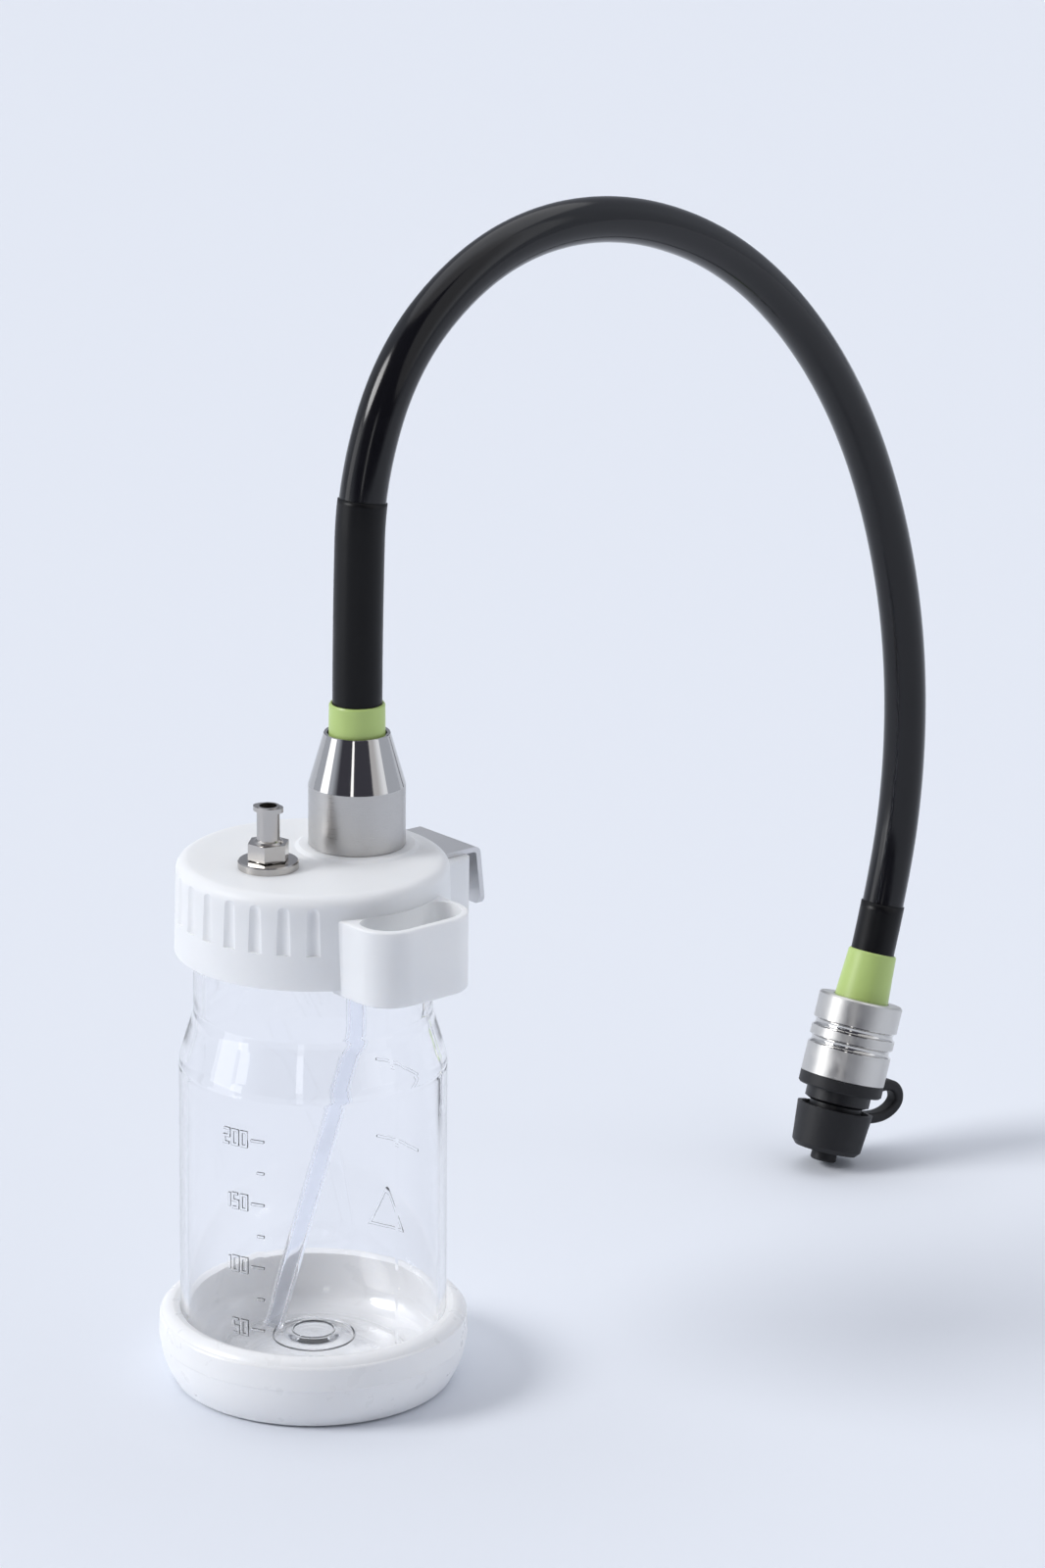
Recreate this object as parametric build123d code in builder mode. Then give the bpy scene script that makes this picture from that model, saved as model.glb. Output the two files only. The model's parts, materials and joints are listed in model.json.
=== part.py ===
"""Endoscope water bottle: a clear bottle in a rubber foot, a screw lid with a rinsing port, a holder and
a hanging hook, and an air-and-water hose that ends in a capped connector. Millimetres, +Z up. The origin
is the centre of the underside; the hook is on +Y and the connector holder on +X."""

from build123d import *
from math import cos, pi, radians, sin, tan
import os

os.makedirs("parts", exist_ok=True)

# Driving dimensions.
FIT = 0.05  # radial gap of pieces that are pushed together
SEAL_GAP = 0.1  # gap at a flat seal
CLEAR = 0.4  # gap between the threads

BOTTLE_R = 33.2
BOTTLE_TOP_R = 33.0
BOTTLE_CORNER = 8.0
BOTTLE_WALL = 2.0
BOTTLE_FLOOR = 2.5
BOTTLE_Z = 3.1
PUNT_R = 6.5
PUNT_FOOT_R = 23.8
PUNT_RISE = 5.7
PUNT_FALL = 0.2
PUNT_RINGS = [10.2, 5.2]
PUNT_RING_HEIGHT = 0.3
SHOULDER_LOW = 84.0
SHOULDER_HIGH = 96.0
SHOULDER_R = 14.0
NECK_R = 29.3
NECK_LAND = 113.5
MOUTH_Z = 127.6

MARK_HEIGHT = 0.35
MARK_STROKE = 0.6
SCALE_BEARING = -68.0
SCALE_VOLUMES = [50, 100, 150, 200]
LEVEL_BEARING = 97.5
LEVEL_HEIGHTS = [52.0, 72.0]
TRIANGLE_BEARING = 106.0
DIGIT_WIDE = 1.5
DIGIT_HIGH = 3.6

# Strokes of the digits on the scale, in a cell one wide and one high.
DIGITS = {
    "0": [(0, 0), (1, 0), (1, 1), (0, 1), (0, 0)],
    "1": [(1, 0), (1, 1)],
    "2": [(0, 1), (1, 1), (1, 0.5), (0, 0.5), (0, 0), (1, 0)],
    "5": [(1, 1), (0, 1), (0, 0.5), (1, 0.5), (1, 0), (0, 0)],
}

FOOT_R = 35.0
FOOT_WIDE_R = 38.5
FOOT_WIDE_Z = 10.6
FOOT_EDGE_Z = 16.8
FOOT_H = 18.7
FOOT_FLOOR = 3.0

THREAD_PITCH = 4.0
THREAD_CORE_R = 28.9
THREAD_CREST_R = 30.5
THREAD_Z = 118.5
THREAD_ROOT = 2.0
THREAD_CREST = 1.0
BOTTLE_TURNS = 1.25
LID_TURNS = 1.0

LID_R = 33.8
LID_TOP_R = 33.2
LID_Z = 112.1
LID_TOP = 135.1
LID_CEILING = 130.1
LID_BORE_R = 31.0
LID_EDGE = 3.0

FLUTES = 16
FLUTE_PITCH = 12.2
FLUTE_START = -38.4
FLUTE_WIDTH = 3.5
FLUTE_DEPTH = 0.7
FLUTE_LOW = 120.7
FLUTE_HIGH = 131.3

HOLDER_X = 46.0
HOLDER_HALF = 15.4
HOLDER_WALL = 1.7
HOLDER_Z = 110.5
HOLDER_TOP = 129.5
HOLDER_CORNER = 9.0
HOLDER_BLEND = 3.0
HOLDER_DEPTH = 10.0
HOLDER_INSIDE = 3.7
HOLDER_EDGE = 0.6

PORT_OFFSET = 13.7
BLOCK_Y = 39.6
BLOCK_HALF = 13.5
BLOCK_Z = 115.5
HOOK_SEAT = 130.3
HOOK_SHEET = 1.3
HOOK_HALF = 10.75
HOOK_Y = 44.1
HOOK_END = 116.0
HOOK_SPLAY = 1.8

COLLAR_Z = 135.8
COLLAR_R = 11.9
COLLAR_EDGE = 151.1
COLLAR_TOP = 164.1
COLLAR_TOP_R = 8.15

HOSE_R = 5.75
HOSE_BORE = 3.5
SLEEVE_WALL = 0.3
LINE_R = 2.1
LINE_BORE = 1.4
DIP_R = 2.5
DIP_BORE = 1.6
JOINT_Z = 120.0

HOSE_BEARING = 96.3  # the hose lies in one upright plane through the collar

# The hose's route in its plane: distance out from the collar's axis, and height.
ROUTE = [
    (0.0, 141.0),
    (0.0, 167.0),
    (0.3, 197.0),
    (1.3, 226.0),
    (13.3, 253.9),
    (37.3, 272.3),
    (65.5, 280.1),
    (98.4, 277.9),
    (132.8, 265.2),
    (162.7, 243.4),
    (186.9, 214.6),
    (203.4, 181.8),
    (213.2, 146.6),
    (215.3, 111.0),
    (210.2, 76.7),
    (199.0, 43.8),
]

# Heights along the connector, from the end of its cap's stud up towards the hose.
TIP_LENGTH = 59.9
STRAP_BEARING = 84.0
CAP_RIM = 15.1
STEM_END = 8.0
STRAP_LOW = 20.2
GRIP_LOW = 23.6
GRIP_TOP = 46.4
HOSE_END = 45.0
GRIP_R = 11.8
STEM_R = 9.1
PLUG_R = 7.4


def hose_point(reach, height):
    """The point of the hose's plane at that reach and height."""
    bearing = radians(HOSE_BEARING)
    return Vector(reach * cos(bearing), PORT_OFFSET + reach * sin(bearing), height)


def corner_radii(points, share=0.45):
    """The largest tangent arc at each corner: that share of the shorter run."""
    radii = []
    for before, here, after in zip(points, points[1:], points[2:]):
        run_in = here - before
        run_out = after - here
        half_turn = radians(run_in.get_angle(run_out)) / 2
        radii.append(share * min(run_in.length, run_out.length) / tan(half_turn))
    return radii


def ridge(radius_root, radius_crest, z_start, turns, turn_start):
    """A right-hand thread ridge, from its root cylinder to its crest."""
    start = Plane.XY.rotated((0, 0, turn_start)).offset(z_start)
    with BuildPart() as thread:
        with BuildLine(start) as path:
            Helix(pitch=THREAD_PITCH, height=THREAD_PITCH * turns, radius=radius_root)
        out = Vector(cos(radians(turn_start)), sin(radians(turn_start)), 0)
        with BuildSketch(Plane(origin=out * radius_root + (0, 0, z_start), x_dir=out, z_dir=path.line % 0)):
            depth = radius_crest - radius_root
            Polygon(
                (0, -THREAD_ROOT / 2),
                (depth, -THREAD_CREST / 2),
                (depth, THREAD_CREST / 2),
                (0, THREAD_ROOT / 2),
                align=None,
            )
        sweep(path=path.line, is_frenet=True)
    return thread.part


def side_plane(bearing):
    """An upright plane inside the bottle's wall, facing out at that bearing."""
    out = Vector(cos(radians(bearing)), sin(radians(bearing)), 0)
    return Plane(origin=out * (BOTTLE_R - 5), x_dir=(-out.Y, out.X, 0), z_dir=out)


def stroke(*points):
    """A stroke of the embossed marks, along those points of the sketch."""
    edges = [Edge.make_line(start, end) for start, end in zip(points, points[1:])]
    trace(edges, line_width=MARK_STROKE)


collar_section = Plane(origin=(0, PORT_OFFSET, 0), x_dir=(1, 0, 0), z_dir=(0, -1, 0))
collar_axis = Axis((0, PORT_OFFSET, 0), (0, 0, 1))
luer_section = Plane(origin=(0, -PORT_OFFSET, 0), x_dir=(1, 0, 0), z_dir=(0, -1, 0))
luer_axis = Axis((0, -PORT_OFFSET, 0), (0, 0, 1))

route_points = [hose_point(*point) for point in ROUTE]
tip_axis = (route_points[-2] - route_points[-1]).normalized()
tip_point = route_points[-1] - tip_axis * HOSE_END
ring_top = tip_point + tip_axis * TIP_LENGTH
strap_out = Vector(cos(radians(STRAP_BEARING)), sin(radians(STRAP_BEARING)), 0)
strap_side = tip_axis.cross(strap_out).cross(tip_axis).normalized()
tip_section = Plane(origin=tip_point, x_dir=strap_side, z_dir=strap_side.cross(tip_axis))
connector_axis = Axis(tip_point, tip_axis)

# Rubber foot: a shallow cup round the bottle's base.
foot_bore = BOTTLE_R + FIT
with BuildPart() as base_foot:
    with BuildSketch(Plane.XZ):
        with BuildLine():
            Line((0, 0), (FOOT_R - 1, 0))
            ThreePointArc((FOOT_R - 1, 0), (FOOT_R - 0.2, 0.4), (FOOT_R + 0.2, 1.2))
            ThreePointArc((FOOT_R + 0.2, 1.2), (37.3, 5.6), (FOOT_WIDE_R - 0.3, FOOT_WIDE_Z))
            Line((FOOT_WIDE_R - 0.3, FOOT_WIDE_Z), (FOOT_WIDE_R, FOOT_WIDE_Z + 0.4))
            Line((FOOT_WIDE_R, FOOT_WIDE_Z + 0.4), (FOOT_WIDE_R - 0.2, FOOT_EDGE_Z - 0.5))
            ThreePointArc(
                (FOOT_WIDE_R - 0.2, FOOT_EDGE_Z - 0.5),
                (FOOT_WIDE_R - 0.35, FOOT_EDGE_Z - 0.1),
                (FOOT_WIDE_R - 0.8, FOOT_EDGE_Z + 0.2),
            )
            ThreePointArc((FOOT_WIDE_R - 0.8, FOOT_EDGE_Z + 0.2), (36.6, 18.2), (34.9, FOOT_H))
            Line((34.9, FOOT_H), (foot_bore, FOOT_H - 0.5))
            Line((foot_bore, FOOT_H - 0.5), (foot_bore, FOOT_FLOOR + BOTTLE_CORNER))
            RadiusArc(
                (foot_bore, FOOT_FLOOR + BOTTLE_CORNER),
                (foot_bore - BOTTLE_CORNER, FOOT_FLOOR),
                BOTTLE_CORNER,
            )
            Line((foot_bore - BOTTLE_CORNER, FOOT_FLOOR), (0, FOOT_FLOOR))
            Line((0, FOOT_FLOOR), (0, 0))
        make_face()
    revolve(axis=Axis.Z)
    with BuildSketch(Plane.XY):
        Circle(FOOT_R - 6.5)
        Circle(FOOT_R - 8.0, mode=Mode.SUBTRACT)
    extrude(amount=0.8, mode=Mode.SUBTRACT)
base_foot.part.label = "base_foot"
export_step(base_foot.part, "parts/base_foot.step")

# Marks on the bottle: a volume scale in front, two level lines and a triangle on the back.
FLOOR_Z = BOTTLE_Z + BOTTLE_FLOOR
ML_PER_MM = pi * (BOTTLE_R - BOTTLE_WALL) ** 2 / 1000
PUNT_VOLUME = 5.7
with BuildPart() as marks:
    with BuildSketch(side_plane(SCALE_BEARING)):
        for volume in SCALE_VOLUMES:
            level = FLOOR_Z + (volume + PUNT_VOLUME) / ML_PER_MM
            stroke((1.6, level), (5.0, level))
            stroke((3.2, level - 25 / ML_PER_MM), (5.0, level - 25 / ML_PER_MM))
            for place, digit in enumerate(reversed(str(volume))):
                left = 0.4 - DIGIT_WIDE - place * (DIGIT_WIDE + 1.0)
                low = level - DIGIT_HIGH / 2
                stroke(*[(left + x * DIGIT_WIDE, low + y * DIGIT_HIGH) for x, y in DIGITS[digit]])
    extrude(amount=8)
    with BuildSketch(side_plane(LEVEL_BEARING)):
        for height in LEVEL_HEIGHTS:
            stroke((-7.8, height), (7.8, height))
    extrude(amount=8)
    with BuildSketch(side_plane(TRIANGLE_BEARING)):
        stroke((-5.0, 28.0), (5.0, 28.0), (0, 38.0), (-5.0, 28.0))
    extrude(amount=8)
    with BuildSketch():
        Circle(BOTTLE_R + MARK_HEIGHT)
        Circle(BOTTLE_R - 0.8, mode=Mode.SUBTRACT)
    extrude(amount=SHOULDER_LOW, mode=Mode.INTERSECT)

# Bottle: blown body with a domed floor, a soft shoulder and a threaded neck.
PUNT_TOP = BOTTLE_Z + PUNT_RISE
with BuildPart() as bottle:
    with BuildSketch(Plane.XZ):
        with BuildLine() as outside:
            FilletPolyline(
                (0, PUNT_TOP),
                (PUNT_R, PUNT_TOP - PUNT_FALL),
                (PUNT_FOOT_R, BOTTLE_Z),
                (BOTTLE_R, BOTTLE_Z),
                (BOTTLE_TOP_R, SHOULDER_LOW),
                (NECK_R, SHOULDER_HIGH),
                (NECK_R, NECK_LAND),
                (THREAD_CORE_R, NECK_LAND + 0.6),
                (THREAD_CORE_R, MOUTH_Z),
                radius=[5.0, 5.0, BOTTLE_CORNER, SHOULDER_R, SHOULDER_R, 0, 0],
            )
            inside = FilletPolyline(
                (THREAD_CORE_R - BOTTLE_WALL, MOUTH_Z),
                (THREAD_CORE_R - BOTTLE_WALL, SHOULDER_HIGH + 0.6),
                (BOTTLE_TOP_R - BOTTLE_WALL, SHOULDER_LOW - 1.6),
                (BOTTLE_R - BOTTLE_WALL, FLOOR_Z),
                (PUNT_FOOT_R - 0.5, FLOOR_Z),
                (PUNT_R - 0.5, PUNT_TOP - PUNT_FALL + BOTTLE_FLOOR),
                (0, PUNT_TOP + BOTTLE_FLOOR),
                radius=[3.0, 3.0, BOTTLE_CORNER - BOTTLE_WALL, 5.0, 5.0],
            )
            Line((THREAD_CORE_R, MOUTH_Z), inside @ 0)
            Line(inside @ 1, (0, PUNT_TOP))
        make_face()
        for ring in PUNT_RINGS:
            fall = PUNT_FALL + max(ring - PUNT_R, 0) * (PUNT_RISE - PUNT_FALL) / (PUNT_FOOT_R - PUNT_R)
            with Locations((ring, PUNT_TOP + BOTTLE_FLOOR - fall)):
                Circle(PUNT_RING_HEIGHT)
    revolve(axis=Axis.Z)
    add(ridge(THREAD_CORE_R - 0.3, THREAD_CREST_R, THREAD_Z, BOTTLE_TURNS, 0.0))
    add(marks.part)
bottle.part.label = "bottle"
export_step(bottle.part, "parts/bottle.step")

# Flat gasket between the mouth and the lid's ceiling.
with BuildPart() as lid_gasket:
    with BuildSketch(Plane.XY.offset(MOUTH_Z + SEAL_GAP)):
        Circle(LID_BORE_R - CLEAR)
        Circle(THREAD_CORE_R - BOTTLE_WALL - 0.6, mode=Mode.SUBTRACT)
    extrude(amount=LID_CEILING - MOUTH_Z - 2 * SEAL_GAP)
lid_gasket.part.label = "lid_gasket"
export_step(lid_gasket.part, "parts/lid_gasket.step")

# Screw lid with its thread, finger flutes, connector holder and hook block.
FLUTE_CUT_R = FLUTE_WIDTH**2 / (8 * FLUTE_DEPTH) + FLUTE_DEPTH / 2
FLUTE_CENTRE = LID_TOP_R + 0.3 + FLUTE_CUT_R - FLUTE_DEPTH
SEAL_SEAT = 0.8
with BuildPart() as lid:
    with BuildSketch(Plane.XZ):
        Polygon((0, LID_Z), (LID_R, LID_Z), (LID_TOP_R, LID_TOP), (0, LID_TOP), align=None)
    revolve(axis=Axis.Z)
    fillet(lid.edges().filter_by(GeomType.CIRCLE).group_by(Axis.Z)[-1], LID_EDGE)
    # Holder: a cup on the side, open at the top.
    with BuildSketch(Plane.XY.offset(HOLDER_Z)):
        with Locations((HOLDER_X / 2, 0)):
            Rectangle(HOLDER_X, 2 * HOLDER_HALF)
        fillet(vertices().group_by(Axis.X)[-1], HOLDER_CORNER)
    extrude(amount=HOLDER_TOP - HOLDER_Z)
    with BuildSketch(Plane.XY.offset(LID_Z)):
        with Locations((HOLDER_X / 2, 0)):
            Rectangle(HOLDER_X, 2 * HOLDER_HALF)
        fillet(vertices().group_by(Axis.X)[-1], HOLDER_CORNER)
        Circle(LID_TOP_R - 0.3)
        fillet(vertices().group_by(Axis.X)[0], HOLDER_BLEND)
        Rectangle(2 * HOLDER_X, 2 * (HOLDER_HALF + HOLDER_BLEND), mode=Mode.INTERSECT)
    extrude(amount=HOLDER_TOP - LID_Z)
    fillet(lid.edges().filter_by(Axis.Y).group_by(Axis.X)[-1], HOLDER_EDGE)
    # Hook block.
    with BuildSketch(Plane.XY.offset(BLOCK_Z)):
        with Locations((0, BLOCK_Y / 2)):
            Rectangle(2 * BLOCK_HALF, BLOCK_Y)
        fillet(vertices().group_by(Axis.Y)[-1], 2.5)
    extrude(amount=HOOK_SEAT - BLOCK_Z)
    with BuildSketch(Plane.XY.offset(HOLDER_Z)):
        Circle(LID_BORE_R)
    extrude(amount=LID_CEILING - HOLDER_Z, mode=Mode.SUBTRACT)
    with BuildSketch(Plane.XY.offset(HOLDER_TOP - HOLDER_DEPTH)):
        with Locations((HOLDER_X / 2, 0)):
            Rectangle(HOLDER_X - 2 * HOLDER_WALL, 2 * (HOLDER_HALF - HOLDER_WALL))
        fillet(vertices().group_by(Axis.X)[-1], HOLDER_CORNER - HOLDER_WALL)
        Circle(LID_R, mode=Mode.SUBTRACT)
        fillet(vertices().group_by(Axis.X)[0], HOLDER_INSIDE)
    extrude(amount=HOLDER_DEPTH, mode=Mode.SUBTRACT)
    # Raised land under the hose collar, and the holes of the two ports.
    with BuildSketch(collar_section):
        Polygon((0, LID_TOP - 1), (15.2, LID_TOP - 1), (15.2, LID_TOP), (14.2, COLLAR_Z), (0, COLLAR_Z), align=None)
    revolve(axis=collar_axis)
    with Locations((0, PORT_OFFSET, COLLAR_Z)):
        CounterBoreHole(radius=5.2, counter_bore_radius=8.2, counter_bore_depth=SEAL_SEAT, depth=8)
    with Locations((0, -PORT_OFFSET, LID_TOP)):
        CounterBoreHole(radius=3.2, counter_bore_radius=5.6, counter_bore_depth=SEAL_SEAT, depth=8)
    # Slot for the hook's tail.
    with BuildSketch(Plane.XY.offset(HOOK_SEAT)):
        with Locations((0, 36.4)):
            Rectangle(2 * (HOOK_HALF - 2) + 2 * FIT, HOOK_SHEET + 2 * FIT)
    extrude(amount=-8.0 - FIT, mode=Mode.SUBTRACT)
    # Finger flutes.
    for k in range(FLUTES):
        turn = radians(FLUTE_START - k * FLUTE_PITCH)
        x = FLUTE_CENTRE * cos(turn)
        y = FLUTE_CENTRE * sin(turn)
        with Locations((x, y, FLUTE_LOW)):
            Cylinder(
                FLUTE_CUT_R,
                FLUTE_HIGH - FLUTE_LOW,
                align=(Align.CENTER, Align.CENTER, Align.MIN),
                mode=Mode.SUBTRACT,
            )
        with Locations((x, y, FLUTE_HIGH)):
            Sphere(FLUTE_CUT_R, mode=Mode.SUBTRACT)
    add(ridge(LID_BORE_R + 0.3, THREAD_CORE_R + CLEAR, THREAD_Z - THREAD_PITCH / 2, LID_TURNS, 90.0))
lid.part.label = "lid"
export_step(lid.part, "parts/lid.step")

# Hanging hook: bent sheet with a tail moulded into the block.
with BuildPart() as hook:
    with BuildSketch(Plane.YZ.offset(-HOOK_HALF)):
        with BuildLine():
            FilletPolyline(
                (31.0, HOOK_SEAT),
                (HOOK_Y - HOOK_SHEET, HOOK_SEAT),
                (HOOK_Y - HOOK_SHEET + HOOK_SPLAY, HOOK_END),
                (HOOK_Y + HOOK_SPLAY, HOOK_END),
                (HOOK_Y, HOOK_SEAT + HOOK_SHEET),
                (31.0, HOOK_SEAT + HOOK_SHEET),
                radius=[0.8, 0, 0, 2.1],
            )
            Line((31.0, HOOK_SEAT + HOOK_SHEET), (31.0, HOOK_SEAT))
        make_face()
    extrude(amount=2 * HOOK_HALF)
    fillet(hook.edges().filter_by(GeomType.LINE).filter_by(Axis.Y).group_by(Axis.Z)[0], 2.5)
    with BuildSketch(Plane.XY.offset(HOOK_SEAT)):
        with Locations((0, 36.4)):
            Rectangle(2 * (HOOK_HALF - 2), HOOK_SHEET)
    extrude(amount=-8.0)
    with BuildSketch(Plane.XY.offset(HOOK_SEAT - 1)):
        Circle(LID_R)
    extrude(amount=4, mode=Mode.SUBTRACT)
hook.part.label = "hook"
export_step(hook.part, "parts/hook.step")

# Rinsing port: a flange, a hexagon and a socket with two locking lugs, on a threaded shank.
with BuildPart() as luer_port:
    with BuildSketch(luer_section):
        Polygon(
            (0, 126.0),
            (3.0, 126.0),
            (3.0, LID_TOP),
            (7.4, LID_TOP),
            (7.4, 136.7),
            (7.1, 137.0),
            (4.2, 137.2),
            (4.0, 137.6),
            (4.0, 141.2),
            (3.3, 141.9),
            (2.8, 142.2),
            (2.8, 149.2),
            (2.8, 150.6),
            (0, 150.6),
            align=None,
        )
    revolve(axis=luer_axis)
    with BuildSketch(Plane.XY.offset(137.5)):
        with Locations((0, -PORT_OFFSET)):
            RegularPolygon(5.25, 6, rotation=12)
    extrude(amount=4.0)
    with BuildSketch(luer_section):
        Polygon((0, 137.0), (7, 137.0), (7, 140.6), (3.6, 142.4), (0, 142.4), align=None)
        Polygon((0, 100), (7.5, 100), (7.5, 137.3), (0, 137.3), align=None)
        Polygon((0, 141.0), (3, 141.0), (3, 160), (0, 160), align=None)
    revolve(axis=luer_axis, mode=Mode.INTERSECT)
    with BuildSketch(Plane.XY.offset(149.3)):
        with Locations((0, -PORT_OFFSET)):
            Ellipse(3.9, 2.85, rotation=20)
    extrude(amount=1.1)
    with BuildSketch(luer_section):
        Polygon((0, 120), (1.2, 120), (1.2, 141.5), (1.95, 141.5), (2.15, 150.6), (2.15, 155), (0, 155), align=None)
    revolve(axis=luer_axis, mode=Mode.SUBTRACT)
luer_port.part.label = "luer_port"
export_step(luer_port.part, "parts/luer_port.step")

with BuildPart() as luer_seal:
    with BuildSketch(Plane.XY.offset(LID_TOP - SEAL_SEAT + 0.02)):
        with Locations((0, -PORT_OFFSET)):
            Circle(5.5)
            Circle(3.1, mode=Mode.SUBTRACT)
    extrude(amount=SEAL_SEAT - 0.04)
luer_seal.part.label = "luer_seal"
export_step(luer_seal.part, "parts/luer_seal.step")

with BuildPart() as luer_nut:
    with BuildSketch(Plane.XY.offset(LID_CEILING - 3.0)):
        with Locations((0, -PORT_OFFSET)):
            RegularPolygon(5.2, 6)
            Circle(3.0 + FIT, mode=Mode.SUBTRACT)
    extrude(amount=3.0 - 0.02)
luer_nut.part.label = "luer_nut"
export_step(luer_nut.part, "parts/luer_nut.step")

# Collar: a steel skirt over the hose fitting.
with BuildPart() as hose_collar:
    with BuildSketch(collar_section):
        Polygon(
            (10.7, COLLAR_Z),
            (COLLAR_R - 0.2, COLLAR_Z),
            (COLLAR_R, COLLAR_Z + 0.2),
            (COLLAR_R, COLLAR_EDGE),
            (COLLAR_TOP_R, COLLAR_TOP - 0.15),
            (COLLAR_TOP_R - 0.15, COLLAR_TOP),
            (COLLAR_TOP_R - 0.75, COLLAR_TOP),
            (COLLAR_TOP_R - 0.9, COLLAR_TOP - 0.15),
            (10.7, COLLAR_EDGE - 1.0),
            align=None,
        )
    revolve(axis=collar_axis)
hose_collar.part.label = "hose_collar"
export_step(hose_collar.part, "parts/hose_collar.step")

# Fitting: a flanged shank through the lid with a barbed spigot for the hose.
with BuildPart() as hose_fitting:
    with BuildSketch(collar_section):
        Polygon(
            (0, 124.0),
            (5.0, 124.0),
            (5.0, COLLAR_Z),
            (10.6, COLLAR_Z),
            (10.6, COLLAR_Z + 3.0),
            (3.0, COLLAR_Z + 4.0),
            (3.0, 144.0),
            (3.45, 144.4),
            (3.0, 148.0),
            (3.45, 148.4),
            (3.0, 152.0),
            (3.45, 152.4),
            (2.9, 156.0),
            (0, 156.0),
            align=None,
        )
        Polygon((0, 120), (2.5, 120), (2.5, 160), (0, 160), align=None, mode=Mode.SUBTRACT)
    revolve(axis=collar_axis)
hose_fitting.part.label = "hose_fitting"
export_step(hose_fitting.part, "parts/hose_fitting.step")

with BuildPart() as fitting_seal:
    with BuildSketch(Plane.XY.offset(COLLAR_Z - SEAL_SEAT + 0.02)):
        with Locations((0, PORT_OFFSET)):
            Circle(8.1)
            Circle(5.1, mode=Mode.SUBTRACT)
    extrude(amount=SEAL_SEAT - 0.04)
fitting_seal.part.label = "fitting_seal"
export_step(fitting_seal.part, "parts/fitting_seal.step")

with BuildPart() as fitting_nut:
    with BuildSketch(Plane.XY.offset(LID_CEILING - 4.0)):
        with Locations((0, PORT_OFFSET)):
            RegularPolygon(8.6, 6)
            Circle(5.0 + FIT, mode=Mode.SUBTRACT)
    extrude(amount=4.0 - 0.02)
fitting_nut.part.label = "fitting_nut"
export_step(fitting_nut.part, "parts/fitting_nut.step")

# Hose: the air tube, with the water line inside it, along the route.
hose_radii = corner_radii(route_points)
print("hose corner radii, mm:", [round(radius, 1) for radius in hose_radii])
with BuildLine() as hose_path:
    FilletPolyline(*route_points, radius=hose_radii)
hose_length = hose_path.wire().length
print("hose length, mm:", round(hose_length, 1))

with BuildPart() as hose:
    with BuildSketch(Plane(origin=hose_path.wire() @ 0, z_dir=hose_path.wire() % 0)):
        Circle(HOSE_R)
        Circle(HOSE_BORE, mode=Mode.SUBTRACT)
    sweep(path=hose_path.wire())
hose.part.label = "hose"
export_step(hose.part, "parts/hose.step")
print("hose volume ratio:", round(hose.part.volume / (pi * (HOSE_R**2 - HOSE_BORE**2) * hose_length), 4))

# Water line: down through the fitting to the dip tube, and up to the connector's pipe.
line_start = Vector(0, PORT_OFFSET, JOINT_Z)
line_points = [line_start] + route_points[1:]
with BuildLine() as line_path:
    FilletPolyline(*line_points, radius=corner_radii(line_points))
with BuildPart() as water_line:
    with BuildSketch(Plane.XY.offset(JOINT_Z)):
        with Locations((0, PORT_OFFSET)):
            Circle(LINE_R)
            Circle(LINE_BORE, mode=Mode.SUBTRACT)
    sweep(path=line_path.wire())
water_line.part.label = "water_line"
export_step(water_line.part, "parts/water_line.step")

# Shrunk sleeves and coloured rings where the hose meets its two ends.
SLEEVE_TOP = 222.0
RING_GAP = 0.15
sleeve_bore = HOSE_R + 0.02
sleeve_r = sleeve_bore + SLEEVE_WALL
with BuildPart() as hose_sleeve_lower:
    with BuildSketch(Plane(origin=hose_path.wire() @ 0, z_dir=hose_path.wire() % 0)):
        Circle(sleeve_r)
        Circle(sleeve_bore, mode=Mode.SUBTRACT)
    sweep(path=Wire(hose_path.wire().order_edges()[:6]))
    split(bisect_by=Plane.XY.offset(158.0), keep=Keep.TOP)
    split(bisect_by=Plane.XY.offset(SLEEVE_TOP), keep=Keep.BOTTOM)
hose_sleeve_lower.part.label = "hose_sleeve_lower"
export_step(hose_sleeve_lower.part, "parts/hose_sleeve_lower.step")

with BuildPart() as hose_ring_lower:
    with BuildSketch(collar_section):
        Polygon(
            (sleeve_r + RING_GAP, 158.0),
            (7.0, 158.0),
            (6.85, 171.0),
            (6.55, 171.4),
            (sleeve_r + RING_GAP, 171.4),
            align=None,
        )
    revolve(axis=collar_axis)
hose_ring_lower.part.label = "hose_ring_lower"
export_step(hose_ring_lower.part, "parts/hose_ring_lower.step")

with BuildPart() as hose_sleeve_upper:
    with BuildSketch(Plane(origin=route_points[-1], z_dir=tip_axis)):
        Circle(sleeve_r)
        Circle(sleeve_bore, mode=Mode.SUBTRACT)
    sweep(path=Wire(hose_path.wire().order_edges()[-3:]))
    split(bisect_by=Plane(origin=ring_top + tip_axis * 14.0, z_dir=tip_axis), keep=Keep.BOTTOM)
hose_sleeve_upper.part.label = "hose_sleeve_upper"
export_step(hose_sleeve_upper.part, "parts/hose_sleeve_upper.step")

with BuildPart() as hose_ring_upper:
    with BuildSketch(tip_section):
        Polygon(
            (sleeve_r + FIT, GRIP_TOP - 0.9),
            (7.6, GRIP_TOP - 0.9),
            (6.75, TIP_LENGTH - 0.4),
            (6.45, TIP_LENGTH),
            (sleeve_r + FIT, TIP_LENGTH),
            align=None,
        )
    revolve(axis=connector_axis)
hose_ring_upper.part.label = "hose_ring_upper"
export_step(hose_ring_upper.part, "parts/hose_ring_upper.step")

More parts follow.
